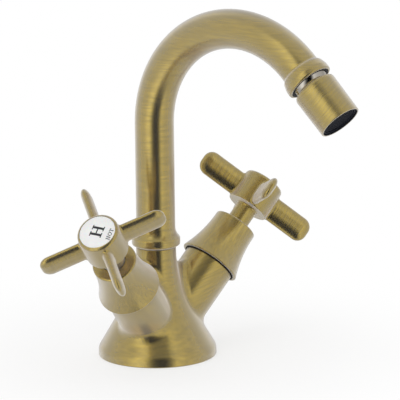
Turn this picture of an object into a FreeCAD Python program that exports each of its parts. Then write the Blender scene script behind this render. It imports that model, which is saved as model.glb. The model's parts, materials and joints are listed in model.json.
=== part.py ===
import FreeCAD
import Part
import math
import os
from FreeCAD import Placement, Rotation, Vector

# Bidet mixer for one tap hole: a flared body with two slanted valves under cross handles, a swan-neck
# spout that swivels on the body, and a ball-jointed nozzle with an aerator at the spout's end.
# Lengths are millimetres and angles are degrees. +Z is up, -Y is the front, where the spout points,
# and the origin is the centre of the base's underside. Hot is on -X and cold is on +X.

# Fits shared by all pieces
turning_clearance = 0.05
slip_clearance = 0.1
free_clearance = 0.4
cut_overrun = 1.0
match_tolerance = 0.001

# Body: flared base and neck
base_radius = 27.3
base_edge_round = 0.6
lip_height = 3.8
lip_round = 5.0
flare_corner_height = 34.4
flare_radius = 56.0
neck_radius = 9.2
neck_top = 51.1
neck_edge_round = 0.25

# Body: the two valve branches, which cross on the body's axis
valve_root_height = 7.55
valve_tilt_deg = 44.7
valve_forward_deg = 14.6
branch_radius = 12.3
branch_length = 45.6
branch_edge_round = 0.4
branch_start_share = 0.6
crease_round = 5.2

# Body: underside
gasket_inner_radius = 22.6
gasket_width = 2.4
gasket_thickness = 1.6
relief_outer_radius = 21.4
relief_depth = 9.0
boss_radius = 16.6
inlet_offset = 10.5
inlet_thread_radius = 4.5
inlet_thread_depth = 10.0
stud_hole_radius = 3.4
stud_hole_depth = 14.0

# Body: waterways
valve_thread_radius = 10.48
valve_thread_length = 9.5
chamber_radius = 9.4
chamber_depth = 22.0
port_radius = 4.0
mixing_height = 31.0
mixing_radius = 3.0
mixing_well_radius = 5.0
mixing_well_drop = 4.0

# Spout: tube, base bead and end socket, the socket measured from the end of the arch
tube_radius = 9.0
tube_wall = 1.1
arch_radius = 49.3
arch_start_height = 109.1
arch_bend_deg = 134.1
joint_gap = 0.2
bead_radius = 11.2
bead_bottom_rise = 1.0
bead_top_rise = 4.3
bead_cove_rise = 6.5
bead_lower_round = 1.2
bead_upper_round = 1.5
bead_cove_radius = 6.0
socket_start = 1.2
socket_cove_radius = 1.0
socket_waist = 2.6
socket_waist_radius = 10.2
socket_waist_round = 2.5
socket_belly = 5.6
socket_radius = 11.0
socket_belly_round = 4.5
socket_mouth = 8.5
socket_lip_round = 0.8
socket_step = 2.0
socket_bore = 9.05
socket_thread_radius = 9.9
socket_thread_depth = 1.9

# Spout: spigot in the body's neck, depths measured down from the joint
spigot_radius = 7.2
spigot_bore = 4.6
spigot_length = 13.4
spigot_edge_round = 0.4
sleeve_length = 9.0
spout_ring_section = 0.9
spout_ring_depths = (4.4, 8.0)
groove_side_room = 0.1
snap_ring_depth = 11.4
snap_ring_thickness = 0.9
snap_ring_outer_radius = 7.95
snap_ring_inner_radius = 6.3
snap_ring_gap_deg = 24.0

# Nozzle: ball and its rings, measured from the end of the arch
ball_radius = 8.7
ball_centre = 6.3
ball_inlet_cut = 3.2
ball_bore = 5.0
seat_gasket_thickness = 0.8
slip_ring_length = 1.6
retainer_recess = 0.1

# Nozzle: aerator, measured from the end of the arch
nozzle_top = 11.2
nozzle_top_radius = 9.8
nozzle_radius = 10.2
nozzle_shoulder = 12.5
nozzle_mouth = 31.5
nozzle_mouth_radius = 10.0
nozzle_top_round = 0.7
nozzle_mouth_round = 0.35
nozzle_thread_radius = 7.2
nozzle_thread_length = 6.0
nozzle_step = 18.5
nozzle_bore = 9.3
aerator_wall = 1.2
aerator_recess = 0.7
aerator_plate_thickness = 2.0
aerator_washer_thickness = 0.8
aerator_washer_width = 2.6
jet_count = 12
jet_radius = 0.6
jet_ring_radius = 4.8
mesh_thickness = 0.7
mesh_recess = 0.4
mesh_ledge_width = 0.8
mesh_ledge_height = 1.0
mesh_hole_radius = 0.62
mesh_hole_pitch = 1.75
mesh_rim = 0.7

# Valve cover: a bell that hides the headwork, heights along the valve's axis from the branch's end face
cover_overlap = 2.0
cover_top = 20.7
cover_rim_radius = 14.6
cover_top_radius = 10.4
cover_flare_corner = 9.1
cover_flare_radius = 66.0
cover_rim_wall = 1.6
cover_rim_round = 0.45
cover_top_round = 1.0
cover_waist_bore = 10.9
cover_roof = 1.6

# Headwork housing
barrel_radius = 8.9
barrel_bore = 7.6
barrel_foot_gap = 0.8
flange_radius = 11.4
flange_thickness = 1.6
hex_across_flats = 18.0
hex_height = 5.4
cover_thread_radius = 8.0
housing_top = 15.0
window_width = 7.0
key_width = 3.0
key_reach = 0.6
stop_reach = 0.5
stop_width_deg = 30.0
stop_slack_deg = 2.0
quarter_turn_deg = 90.0
headwork_ring_section = 0.9
headwork_ring_depth = 10.9

# Ceramic discs and seat seal
disc_radius = 7.5
fixed_disc_thickness = 2.8
moving_disc_thickness = 2.6
disc_gap = 0.03
port_outer_radius = 6.0
port_inner_radius = 2.6
port_sweep_deg = 70.0
seal_height = 2.2
seal_wall = 1.1

# Spindle, its seals and its clip
spindle_radius = 4.5
spindle_foot_thickness = 1.8
spindle_end_radius = 4.0
spindle_end_height = 34.3
tongue_length = 10.0
tongue_width = 2.6
tongue_depth = 1.6
spindle_ring_section = 0.75
spindle_ring_heights = (1.5, 5.0)
clip_thickness = 0.9
clip_outer_radius = 6.6
clip_inner_radius = 3.75
clip_gap_deg = 70.0

# Cross handle
handle_neck_radius = 5.1
handle_neck_start = 17.3
neck_root_round = 0.8
hub_bottom = 30.2
hub_bottom_radius = 10.0
hub_bottom_round = 0.3
hub_top = 45.5
hub_top_radius = 9.7
hub_shoulder_round = 1.6
arm_count = 4
arm_middle = 36.7
arm_reach = 30.4
arm_height = 11.8
arm_thickness = 4.4
arm_roll_width = 4.7
arm_root_round = 1.2
handle_web_thickness = 3.5
screw_thread_radius = 2.4
screw_thread_depth = 10.0
screw_head_radius = 4.2
screw_head_height = 2.8
screw_head_round = 1.0
screw_slot_width = 1.0
screw_slot_depth = 1.2
screw_recess_radius = 6.0
index_radius = 8.4
index_recess = 3.5
index_edge_drop = 0.25
index_edge_round = 0.5
index_dome_rise = 0.9
handle_turns_deg = {"hot": 34.0, "cold": 60.4}

valve_sides = {"hot": -1, "cold": 1}
origin = Vector(0, 0, 0)
up = Vector(0, 0, 1)
right = Vector(1, 0, 0)

# Places worked out from the sizes above
valve_tilt = math.radians(valve_tilt_deg)
valve_forward = math.radians(valve_forward_deg)
joint_height = neck_top + joint_gap
tube_bore = tube_radius - tube_wall
housing_foot = barrel_foot_gap - chamber_depth
seal_top = seal_height - chamber_depth
fixed_disc_top = seal_top + fixed_disc_thickness
moving_disc_base = fixed_disc_top + disc_gap
moving_disc_top = moving_disc_base + moving_disc_thickness
foot_base = moving_disc_top + disc_gap
foot_top = foot_base + spindle_foot_thickness
barrel_roof = foot_top + slip_clearance
hex_top = flange_thickness + hex_height
clip_base = housing_top + slip_clearance
web_base = spindle_end_height + slip_clearance
web_top = web_base + handle_web_thickness
index_base = hub_top - index_recess
aerator_radius = nozzle_bore - slip_clearance
aerator_top = nozzle_step + aerator_washer_thickness
aerator_mouth = nozzle_mouth - aerator_recess
mesh_radius = aerator_radius - aerator_wall - turning_clearance
mesh_bottom = aerator_mouth - mesh_recess


# A closed wire in the XZ plane through (radius, height, rounding) corners, each rounding cut to what fits
def outline(points):
    corners = [Vector(point[0], 0, point[1]) for point in points]
    roundings = [point[2] if len(point) > 2 else 0 for point in points]
    count = len(corners)
    sides = [corners[(i + 1) % count] - corners[i] for i in range(count)]
    ways = [Vector(side).normalize() for side in sides]
    half_turns = [ways[i - 1].getAngle(ways[i]) / 2 for i in range(count)]
    setbacks = [roundings[i] * math.tan(half_turns[i]) for i in range(count)]
    sums = [setbacks[i] + setbacks[(i + 1) % count] for i in range(count)]
    rooms = [sides[i].Length / max(sums[i], sides[i].Length) for i in range(count)]
    setbacks = [setbacks[i] * min(rooms[i - 1], rooms[i]) for i in range(count)]
    edges = []
    for i in range(count):
        after = (i + 1) % count
        start = corners[i] - ways[i - 1] * setbacks[i]
        end = corners[i] + ways[i] * setbacks[i]
        finish = corners[after] - ways[i] * setbacks[after]
        if roundings[i] > 0:
            radius = setbacks[i] / math.tan(half_turns[i])
            inward = (ways[i] - ways[i - 1]).normalize()
            middle = corners[i] + inward * (radius / math.cos(half_turns[i]) - radius)
            edges.append(Part.Arc(start, middle, end).toShape())
        if (finish - end).Length > Part.Precision.confusion():
            edges.append(Part.LineSegment(end, finish).toShape())
    return Part.Wire(edges)


def turned(points, sweep_deg=360):
    return Part.Face(outline(points)).revolve(origin, up, sweep_deg)


def rod(radius, bottom, top):
    return Part.makeCylinder(radius, top - bottom, up * bottom)


def ring(inner, outer, bottom, top, sweep_deg=360):
    return turned([(inner, bottom), (outer, bottom), (outer, top), (inner, top)], sweep_deg)


# A stretch of a ring, centred on an angle
def sector(inner, outer, bottom, top, middle_deg, sweep_deg):
    piece = ring(inner, outer, bottom, top, sweep_deg)
    return piece.rotate(origin, up, middle_deg - sweep_deg / 2)


def bar(length, width, bottom, top):
    return Part.makeBox(length, width, top - bottom, Vector(-length / 2, -width / 2, bottom))


def o_ring(middle_radius, section, height):
    return Part.makeTorus(middle_radius, section, up * height)


# The edges of a shape whose sampled points all pass a test
def edges_where(shape, test):
    found = []
    for edge in shape.Edges:
        points = [] if edge.Degenerated else edge.discretize(Number=9)[1:-1]
        if points and all(test(point) for point in points):
            found.append(edge)
    return found


# Frames of the valves and of the spout's end


def valve_axis(side):
    level_part = math.sin(valve_tilt)
    across = side * math.cos(valve_forward) * level_part
    return Vector(across, -math.sin(valve_forward) * level_part, math.cos(valve_tilt))


def valve_frame(side):
    axis = valve_axis(side)
    level = up.cross(axis).normalize()
    turn = Rotation(level, axis.cross(level), axis, "ZXY")
    return Placement(up * valve_root_height + axis * branch_length, turn)


def spout_end_frame():
    bend = math.radians(arch_bend_deg)
    way = Vector(0, -math.sin(bend), math.cos(bend))
    end = Vector(0, arch_radius * (math.cos(bend) - 1), arch_start_height + arch_radius * math.sin(bend))
    return Placement(end, Rotation(right, way.cross(right), way, "ZXY"))


def placed(shape, frame):
    moved = shape.copy()
    moved.Placement = frame.multiply(moved.Placement)
    return moved


# Body


# Flared base, neck and branches as one casting, blended where they meet, then bored
def mixer_body():
    flare = turned([
        (0, 0),
        (base_radius, 0, base_edge_round),
        (base_radius, lip_height, lip_round),
        (neck_radius, flare_corner_height, flare_radius),
        (neck_radius, neck_top, neck_edge_round),
        (0, neck_top),
    ])
    branch_start = branch_radius * branch_start_share - branch_length
    branch = turned([
        (0, branch_start),
        (branch_radius, branch_start),
        (branch_radius, 0, branch_edge_round),
        (0, 0),
    ])
    frames = [valve_frame(side) for side in valve_sides.values()]
    casting = flare.fuse([placed(branch, frame) for frame in frames]).removeSplitter()
    creases = []
    for frame in frames:
        creases += edges_where(casting, lambda point: on_crease(frame.inverse().multVec(point)))
    casting = casting.makeFillet(crease_round, [edge for edge in creases if not straight(edge)])
    cuts = [underside_cuts(), neck_cuts()]
    for side, frame in zip(valve_sides.values(), frames):
        cuts += [placed(valve_cuts(), frame), inlet_cuts(side)]
    return casting.cut(cuts)


def on_crease(local):
    off_wall = abs(math.hypot(local.x, local.y) - branch_radius)
    return off_wall < match_tolerance and local.z < -branch_edge_round - match_tolerance


def straight(edge):
    return isinstance(edge.Curve, Part.Line)


def underside_cuts():
    groove = ring(gasket_inner_radius, gasket_inner_radius + gasket_width, -cut_overrun, gasket_thickness)
    relief = ring(boss_radius, relief_outer_radius, -cut_overrun, relief_depth)
    return groove.fuse([relief, rod(stud_hole_radius, -cut_overrun, stud_hole_depth)])


def neck_cuts():
    bore_floor = joint_height - spigot_length - free_clearance
    bore = rod(spigot_radius + turning_clearance, bore_floor, neck_top + cut_overrun)
    groove_middle = joint_height - snap_ring_depth
    half_groove = snap_ring_thickness / 2 + groove_side_room
    groove_radius = snap_ring_outer_radius + slip_clearance
    groove = rod(groove_radius, groove_middle - half_groove, groove_middle + half_groove)
    well = rod(mixing_well_radius, mixing_height - mixing_well_drop, neck_top)
    return bore.fuse([groove, well])


# Threaded seat, valve chamber and the port in its floor, down to the inlet
def valve_cuts():
    thread = rod(valve_thread_radius + turning_clearance, -valve_thread_length, cut_overrun)
    chamber = rod(chamber_radius, -chamber_depth, 0)
    port_start = inlet_offset / (math.cos(valve_forward) * math.sin(valve_tilt)) - branch_length
    return thread.fuse([chamber, rod(port_radius, port_start, -chamber_depth + cut_overrun)])


# Inlet from below, and the passage from the valve chamber to the mixing well
def inlet_cuts(side):
    axis = valve_axis(side)
    place = right * (side * inlet_offset)
    meeting_height = valve_root_height + inlet_offset * axis.z / abs(axis.x)
    thread = rod(inlet_thread_radius, -cut_overrun, inlet_thread_depth).translate(place)
    drilling = rod(port_radius, 0, meeting_height).translate(place)
    rise = mixing_height - valve_root_height
    along = branch_length - chamber_depth + mixing_radius
    reach = (along - rise * math.cos(valve_tilt)) / math.sin(valve_tilt)
    passage = Part.makeCylinder(mixing_radius, reach, up * mixing_height, Vector(axis.x, axis.y, 0))
    return thread.fuse([drilling, passage])


def base_gasket():
    return ring(gasket_inner_radius, gasket_inner_radius + gasket_width, 0, gasket_thickness)


# Spout


# Bent tube with the bead at its foot and the ball socket at its end
def spout_tube():
    lower = turned([
        (tube_bore, joint_height),
        (neck_radius, joint_height),
        (bead_radius, joint_height + bead_bottom_rise, bead_lower_round),
        (bead_radius, joint_height + bead_top_rise, bead_upper_round),
        (tube_radius, joint_height + bead_cove_rise, bead_cove_radius),
        (tube_radius, arch_start_height),
        (tube_bore, arch_start_height),
    ])
    pivot = Vector(0, -arch_radius, arch_start_height)
    start = up * arch_start_height
    skins = [Part.Face(Part.Wire(Part.makeCircle(radius, start, up))) for radius in (tube_radius, tube_bore)]
    outer, inner = [skin.revolve(pivot, right, arch_bend_deg) for skin in skins]
    socket = turned([
        (tube_bore, 0),
        (tube_radius, 0),
        (tube_radius, socket_start, socket_cove_radius),
        (socket_waist_radius, socket_waist, socket_waist_round),
        (socket_radius, socket_belly, socket_belly_round),
        (socket_radius, socket_mouth, socket_lip_round),
        (socket_thread_radius, socket_mouth),
        (socket_thread_radius, socket_mouth - socket_thread_depth),
        (socket_bore, socket_mouth - socket_thread_depth),
        (socket_bore, socket_step),
        (tube_bore, socket_step),
    ])
    return lower.fuse([outer.cut(inner), placed(socket, spout_end_frame())]).removeSplitter()


# Turned insert at the tube's foot, grooved for two seal rings and the snap ring
def spout_spigot():
    foot = joint_height - spigot_length
    body = turned([
        (spigot_bore, foot),
        (spigot_radius, foot, spigot_edge_round),
        (spigot_radius, joint_height),
        (tube_bore - turning_clearance, joint_height),
        (tube_bore - turning_clearance, joint_height + sleeve_length),
        (spigot_bore, joint_height + sleeve_length),
    ])
    outside = spigot_radius + cut_overrun
    grooves = []
    for depth in spout_ring_depths:
        floor = spigot_radius - 2 * spout_ring_section - turning_clearance
        half_width = spout_ring_section + groove_side_room
        middle = joint_height - depth
        grooves.append(ring(floor, outside, middle - half_width, middle + half_width))
    middle = joint_height - snap_ring_depth
    half_width = snap_ring_thickness / 2 + groove_side_room
    floor = snap_ring_inner_radius - slip_clearance
    grooves.append(ring(floor, outside, middle - half_width, middle + half_width))
    return body.cut(grooves)


def spout_seal_rings():
    middle_radius = spigot_radius - spout_ring_section
    return [o_ring(middle_radius, spout_ring_section, joint_height - depth) for depth in spout_ring_depths]


def spout_snap_ring():
    middle = joint_height - snap_ring_depth
    half_width = snap_ring_thickness / 2
    bottom = middle - half_width
    top = middle + half_width
    return sector(snap_ring_inner_radius, snap_ring_outer_radius, bottom, top, 0, 360 - snap_ring_gap_deg)


# Nozzle, in the frame of the spout's end


def ball_at(radius):
    return Part.makeSphere(radius, up * ball_centre)


def ball_seat_gasket():
    top = socket_step + seat_gasket_thickness
    gasket = ring(tube_bore, socket_bore - turning_clearance, socket_step, top)
    return gasket.cut(ball_at(ball_radius + slip_clearance))


def ball_slip_ring():
    bottom = socket_step + seat_gasket_thickness + turning_clearance
    blank = rod(socket_bore - slip_clearance, bottom, bottom + slip_ring_length)
    return blank.cut(ball_at(ball_radius + slip_clearance))


def ball_retainer():
    bottom = socket_mouth - socket_thread_depth + turning_clearance
    top = socket_mouth - retainer_recess
    blank = rod(socket_thread_radius - turning_clearance, bottom, top)
    return blank.cut(ball_at(ball_radius + slip_clearance))


# Ball with its inlet face cut flat, a threaded end for the aerator and a bore right through
def nozzle_ball():
    inlet = ball_centre - ball_inlet_cut
    thread_end = nozzle_top + nozzle_thread_length
    below = rod(ball_radius + cut_overrun, ball_centre - ball_radius - cut_overrun, inlet)
    beyond = rod(ball_radius + cut_overrun, nozzle_top, ball_centre + ball_radius + cut_overrun)
    ball = ball_at(ball_radius).cut([below, beyond])
    thread = rod(nozzle_thread_radius, ball_centre, thread_end)
    bore = rod(ball_bore, inlet - cut_overrun, thread_end + cut_overrun)
    return ball.fuse(thread).cut(bore).removeSplitter()


def nozzle_housing():
    thread_bore = nozzle_thread_radius + turning_clearance
    return turned([
        (thread_bore, nozzle_top),
        (nozzle_top_radius, nozzle_top, nozzle_top_round),
        (nozzle_radius, nozzle_shoulder, nozzle_top_round),
        (nozzle_mouth_radius, nozzle_mouth, nozzle_mouth_round),
        (nozzle_bore, nozzle_mouth),
        (nozzle_bore, nozzle_step),
        (thread_bore, nozzle_step),
    ])


def aerator_washer():
    return ring(aerator_radius - aerator_washer_width, aerator_radius, nozzle_step, aerator_top)


# Sleeve with a jet plate at its inlet and a ledge for the mesh
def aerator_cartridge():
    inside = aerator_radius - aerator_wall
    mesh_top = mesh_bottom - mesh_thickness
    plate_end = aerator_top + aerator_plate_thickness
    sleeve = turned([
        (0, aerator_top),
        (aerator_radius, aerator_top),
        (aerator_radius, aerator_mouth),
        (inside, aerator_mouth),
        (inside, mesh_top),
        (inside - mesh_ledge_width, mesh_top),
        (inside - mesh_ledge_width, mesh_top - mesh_ledge_height),
        (inside, mesh_top - mesh_ledge_height),
        (inside, plate_end),
        (0, plate_end),
    ])
    jet = rod(jet_radius, aerator_top - cut_overrun, plate_end + cut_overrun)
    jet.translate(right * jet_ring_radius)
    jets = [jet.copy().rotate(origin, up, 360 * i / jet_count) for i in range(jet_count)]
    return sleeve.cut(jets)


# Outlet disc with a six-sided pattern of holes
def aerator_mesh():
    disc = rod(mesh_radius, mesh_bottom - mesh_thickness, mesh_bottom)
    room = mesh_radius - mesh_rim - mesh_hole_radius
    row_gap = mesh_hole_pitch * math.sin(math.radians(60))
    rows = int(room / row_gap)
    hole = rod(mesh_hole_radius, mesh_bottom - mesh_thickness - cut_overrun, mesh_bottom + cut_overrun)
    holes = []
    for row in range(-rows, rows + 1):
        half_row = math.sqrt(room ** 2 - (row * row_gap) ** 2)
        shift = mesh_hole_pitch / 2 * (row % 2)
        reach = int(half_row / mesh_hole_pitch) + 1
        for column in range(-reach, reach + 1):
            across = column * mesh_hole_pitch + shift
            if abs(across) <= half_row:
                holes.append(hole.copy().translate(Vector(across, row * row_gap, 0)))
    return disc.cut(holes)


# Valve pieces, in the frame of the branch's end face


def valve_cover():
    rim = -cover_overlap
    neck_hole = handle_neck_radius + free_clearance
    thread_bore = cover_thread_radius + turning_clearance
    step = hex_top + turning_clearance
    return turned([
        (cover_rim_radius - cover_rim_wall, rim),
        (cover_rim_radius, rim, cover_rim_round),
        (cover_top_radius, cover_flare_corner, cover_flare_radius),
        (cover_top_radius, cover_top, cover_top_round),
        (neck_hole, cover_top),
        (neck_hole, cover_top - cover_roof),
        (thread_bore, cover_top - cover_roof),
        (thread_bore, step),
        (cover_waist_bore, step),
    ])


# Housing that screws into the branch, with the stop for the quarter turn and side windows for the water
def headwork_housing():
    barrel = turned([
        (barrel_bore, housing_foot),
        (barrel_radius, housing_foot),
        (barrel_radius, -valve_thread_length + slip_clearance),
        (valve_thread_radius, -valve_thread_length + slip_clearance),
        (valve_thread_radius, 0),
        (flange_radius, 0),
        (flange_radius, flange_thickness),
        (cover_thread_radius, flange_thickness),
        (cover_thread_radius, housing_top),
        (spindle_radius + turning_clearance, housing_top),
        (spindle_radius + turning_clearance, barrel_roof),
        (barrel_bore, barrel_roof),
    ])
    corner_radius = hex_across_flats / 2 / math.cos(math.radians(30))
    corners = [Rotation(up, 60 * i).multVec(Vector(corner_radius, 0, flange_thickness)) for i in range(7)]
    hexagon = Part.Face(Part.makePolygon(corners)).extrude(up * hex_height)
    nut = hexagon.cut(rod(cover_thread_radius, 0, housing_top))
    across = 2 * (barrel_radius + cut_overrun)
    slot_width = key_width + 2 * slip_clearance
    keyways = bar(across, slot_width, housing_foot - cut_overrun, fixed_disc_top)
    windows = bar(window_width, across, moving_disc_base, moving_disc_top)
    travel_deg = quarter_turn_deg + stop_width_deg + 2 * stop_slack_deg
    stop_bore = barrel_bore + stop_reach
    stop = sector(disc_radius, stop_bore, foot_base, barrel_roof, 0, travel_deg)
    section = headwork_ring_section
    floor = chamber_radius - 2 * section - slip_clearance
    half_width = section + groove_side_room
    low = -headwork_ring_depth - half_width
    groove = ring(floor, chamber_radius, low, -headwork_ring_depth + half_width)
    return barrel.fuse(nut).removeSplitter().cut([keyways, windows, stop, groove])


def headwork_seal_ring():
    middle_radius = chamber_radius - headwork_ring_section - turning_clearance
    return o_ring(middle_radius, headwork_ring_section, -headwork_ring_depth)


def seat_seal():
    return ring(disc_radius - seal_wall, disc_radius, -chamber_depth, seal_top)


# Two opposite sector ports, centred on an angle
def disc_ports(bottom, top, middle_deg):
    low = bottom - cut_overrun
    high = top + cut_overrun
    port = sector(port_inner_radius, port_outer_radius, low, high, middle_deg, port_sweep_deg)
    return [port, port.copy().rotate(origin, up, 180)]


def fixed_disc():
    disc = rod(disc_radius, seal_top, fixed_disc_top)
    keys = bar(2 * (disc_radius + key_reach), key_width, seal_top, fixed_disc_top)
    return disc.fuse(keys).removeSplitter().cut(disc_ports(seal_top, fixed_disc_top, 90))


def moving_disc():
    disc = rod(disc_radius, moving_disc_base, moving_disc_top)
    slot_floor = moving_disc_top - tongue_depth - slip_clearance
    room = 2 * slip_clearance
    slot = bar(tongue_width + room, tongue_length + room, slot_floor, moving_disc_top + cut_overrun)
    return disc.cut(disc_ports(moving_disc_base, moving_disc_top, 0) + [slot])


# Stem with a tongue for the ceramic disc, a stop lug, seal grooves, a clip groove and a tapped end
def spindle():
    collar_top = clip_base + clip_thickness + groove_side_room
    stem = turned([
        (0, foot_base),
        (disc_radius, foot_base),
        (disc_radius, foot_top),
        (spindle_radius, foot_top),
        (spindle_radius, collar_top),
        (spindle_end_radius, collar_top),
        (spindle_end_radius, spindle_end_height),
        (0, spindle_end_height),
    ])
    tongue = bar(tongue_width, tongue_length, moving_disc_top - tongue_depth, foot_top)
    lug_outer = barrel_bore + stop_reach - slip_clearance
    lug = sector(spindle_radius, lug_outer, foot_base, foot_top, -quarter_turn_deg / 2, stop_width_deg)
    outside = spindle_radius + cut_overrun
    cuts = [ring(clip_inner_radius - turning_clearance, outside, clip_base, collar_top)]
    for height in spindle_ring_heights:
        floor = spindle_radius - 2 * spindle_ring_section - turning_clearance
        half_width = spindle_ring_section + groove_side_room
        cuts.append(ring(floor, outside, height - half_width, height + half_width))
    thread_radius = screw_thread_radius + turning_clearance
    thread_floor = spindle_end_height - screw_thread_depth - free_clearance
    cuts.append(rod(thread_radius, thread_floor, spindle_end_height + cut_overrun))
    return stem.fuse([tongue, lug]).removeSplitter().cut(cuts)


def spindle_seal_rings():
    middle_radius = spindle_radius - spindle_ring_section
    return [o_ring(middle_radius, spindle_ring_section, height) for height in spindle_ring_heights]


def spindle_clip():
    clip_top = clip_base + clip_thickness
    return sector(clip_inner_radius, clip_outer_radius, clip_base, clip_top, 0, 360 - clip_gap_deg)


# Half an ellipse round an arm's edge, from the face on -Y to the face on +Y
def arm_roll(centre, way):
    side = Vector(0, arm_thickness / 2, 0)
    ellipse = Part.Ellipse(centre + way * arm_roll_width, centre + side, centre)
    return Part.ArcOfEllipse(ellipse, -math.pi / 2, math.pi / 2).toShape()


def line(start, end):
    return Part.LineSegment(start, end).toShape()


# One arm along +X: flat broad faces that roll over an edge of the same section all round its free end
def handle_arm():
    flat_height = arm_height - 2 * arm_roll_width
    low = up * (arm_middle - flat_height / 2)
    high = up * (arm_middle + flat_height / 2)
    side = Vector(0, arm_thickness / 2, 0)
    along = right * (arm_reach - arm_roll_width)
    rolls = [arm_roll(low, -up), arm_roll(high, up)]
    flats = [line(low + side, high + side), line(high - side, low - side)]
    section = Part.Wire(Part.sortEdges(rolls + flats)[0])
    blade = Part.Face(section).extrude(along)
    chord = line(low + along + side, low + along - side)
    nose = Part.Face(Part.Wire([arm_roll(low + along, right), chord]))
    upper_nose = nose.copy().translate(high - low)
    corners = [
        nose.revolve(low + along, Vector(0, 1, 0), 90),
        upper_nose.revolve(high + along, Vector(0, 1, 0), -90),
    ]
    return blade.fuse([nose.extrude(high - low)] + corners).removeSplitter()


# Hub and neck with four arms, blended at their roots, then hollowed for the spindle, screw and index
def cross_handle():
    hub = turned([
        (0, handle_neck_start),
        (handle_neck_radius, handle_neck_start),
        (handle_neck_radius, hub_bottom, neck_root_round),
        (hub_bottom_radius, hub_bottom, hub_bottom_round),
        (hub_top_radius, hub_top, hub_shoulder_round),
        (0, hub_top),
    ])
    arm = handle_arm()
    arms = [arm.copy().rotate(origin, up, 360 * i / arm_count) for i in range(arm_count)]
    cross = hub.fuse(arms).removeSplitter()
    cross = cross.makeFillet(arm_root_round, edges_where(cross, on_root))
    socket = rod(spindle_end_radius + turning_clearance, handle_neck_start - cut_overrun, web_base)
    screw_hole = rod(screw_thread_radius + slip_clearance, web_base - cut_overrun, web_top + cut_overrun)
    screw_recess = rod(screw_recess_radius, web_top, hub_top)
    index_seat = rod(index_radius + slip_clearance, index_base, hub_top + cut_overrun)
    return cross.cut([socket, screw_hole, screw_recess, index_seat])


def on_root(point):
    share = (point.z - hub_bottom) / (hub_top - hub_bottom)
    hub_radius = hub_bottom_radius + (hub_top_radius - hub_bottom_radius) * share
    within = abs(point.z - arm_middle) <= arm_height / 2 + match_tolerance
    return within and abs(math.hypot(point.x, point.y) - hub_radius) < match_tolerance


def handle_screw():
    shank = rod(screw_thread_radius, spindle_end_height - screw_thread_depth, web_top)
    head = turned([
        (0, web_top),
        (screw_head_radius, web_top),
        (screw_head_radius, web_top + screw_head_height, screw_head_round),
        (0, web_top + screw_head_height),
    ])
    top = web_top + screw_head_height
    slot_length = 2 * screw_head_radius + cut_overrun
    slot = bar(slot_length, screw_slot_width, top - screw_slot_depth, top + cut_overrun)
    return shank.fuse(head).removeSplitter().cut(slot)


# Porcelain disc with a low dome
def index_disc():
    edge_top = hub_top - index_edge_drop
    disc = turned([
        (0, index_base),
        (index_radius, index_base),
        (index_radius, edge_top + index_dome_rise, index_edge_round),
        (0, edge_top + index_dome_rise),
    ])
    dome_radius = (index_radius ** 2 + index_dome_rise ** 2) / (2 * index_dome_rise)
    return disc.common(Part.makeSphere(dome_radius, up * (edge_top + index_dome_rise - dome_radius)))


# Every node by name, each a list of separate solids


def all_nodes():
    nodes = {
        "mixer_body": [mixer_body()],
        "base_gasket": [base_gasket()],
        "spout_tube": [spout_tube()],
        "spout_spigot": [spout_spigot()],
        "spout_seal_rings": spout_seal_rings(),
        "spout_snap_ring": [spout_snap_ring()],
    }
    nozzle_makers = (
        ball_seat_gasket,
        ball_slip_ring,
        ball_retainer,
        nozzle_ball,
        nozzle_housing,
        aerator_washer,
        aerator_cartridge,
        aerator_mesh,
    )
    for maker in nozzle_makers:
        nodes[maker.__name__] = [placed(maker(), spout_end_frame())]
    valve_makers = {
        "headwork_housing": [headwork_housing()],
        "headwork_seal_ring": [headwork_seal_ring()],
        "seat_seal": [seat_seal()],
        "fixed_disc": [fixed_disc()],
        "moving_disc": [moving_disc()],
        "spindle": [spindle()],
        "spindle_seal_rings": spindle_seal_rings(),
        "spindle_clip": [spindle_clip()],
        "valve_cover": [valve_cover()],
        "cross_handle": [cross_handle()],
        "handle_screw": [handle_screw()],
        "index_disc": [index_disc()],
    }
    for name, side in valve_sides.items():
        frame = valve_frame(side)
        turn = Placement(origin, Rotation(up, handle_turns_deg[name]))
        for piece, solids in valve_makers.items():
            local = [placed(solid, turn) if piece == "cross_handle" else solid for solid in solids]
            nodes[name + "_" + piece] = [placed(solid, frame) for solid in local]
    return nodes


os.makedirs("parts", exist_ok=True)
for name, shapes in all_nodes().items():
    solids = [solid for shape in shapes for solid in shape.Solids]
    node = solids[0] if len(solids) == 1 else Part.makeCompound(solids)
    print(name, len(solids), "solid", node.isValid(), round(node.Volume, 1))
    node.exportStep("parts/" + name + ".step")
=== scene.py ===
import json
import math

import bmesh
import bpy
from mathutils import Matrix, Vector


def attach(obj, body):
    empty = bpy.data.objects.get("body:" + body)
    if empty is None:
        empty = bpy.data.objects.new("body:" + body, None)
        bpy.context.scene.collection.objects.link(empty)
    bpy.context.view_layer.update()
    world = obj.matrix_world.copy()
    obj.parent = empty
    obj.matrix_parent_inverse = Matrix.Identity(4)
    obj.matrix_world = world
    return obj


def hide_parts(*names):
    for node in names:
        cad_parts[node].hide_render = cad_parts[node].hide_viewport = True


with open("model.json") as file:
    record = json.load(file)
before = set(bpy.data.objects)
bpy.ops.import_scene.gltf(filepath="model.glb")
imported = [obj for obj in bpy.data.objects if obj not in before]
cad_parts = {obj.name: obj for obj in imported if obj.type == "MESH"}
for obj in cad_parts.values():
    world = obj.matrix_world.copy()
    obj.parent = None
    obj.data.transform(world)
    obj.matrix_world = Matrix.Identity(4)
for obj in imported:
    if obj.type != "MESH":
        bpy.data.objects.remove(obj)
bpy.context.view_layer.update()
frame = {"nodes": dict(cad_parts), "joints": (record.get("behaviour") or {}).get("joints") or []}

mm = 0.001
upAxis = Vector((0, 0, 1))
upright = Matrix.Identity(4)
nodes = frame["nodes"]
joints = {joint["name"]: joint for joint in frame["joints"]}
sides = ("hot", "cold")
print("frame loaded:", len(nodes), "nodes")


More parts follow.
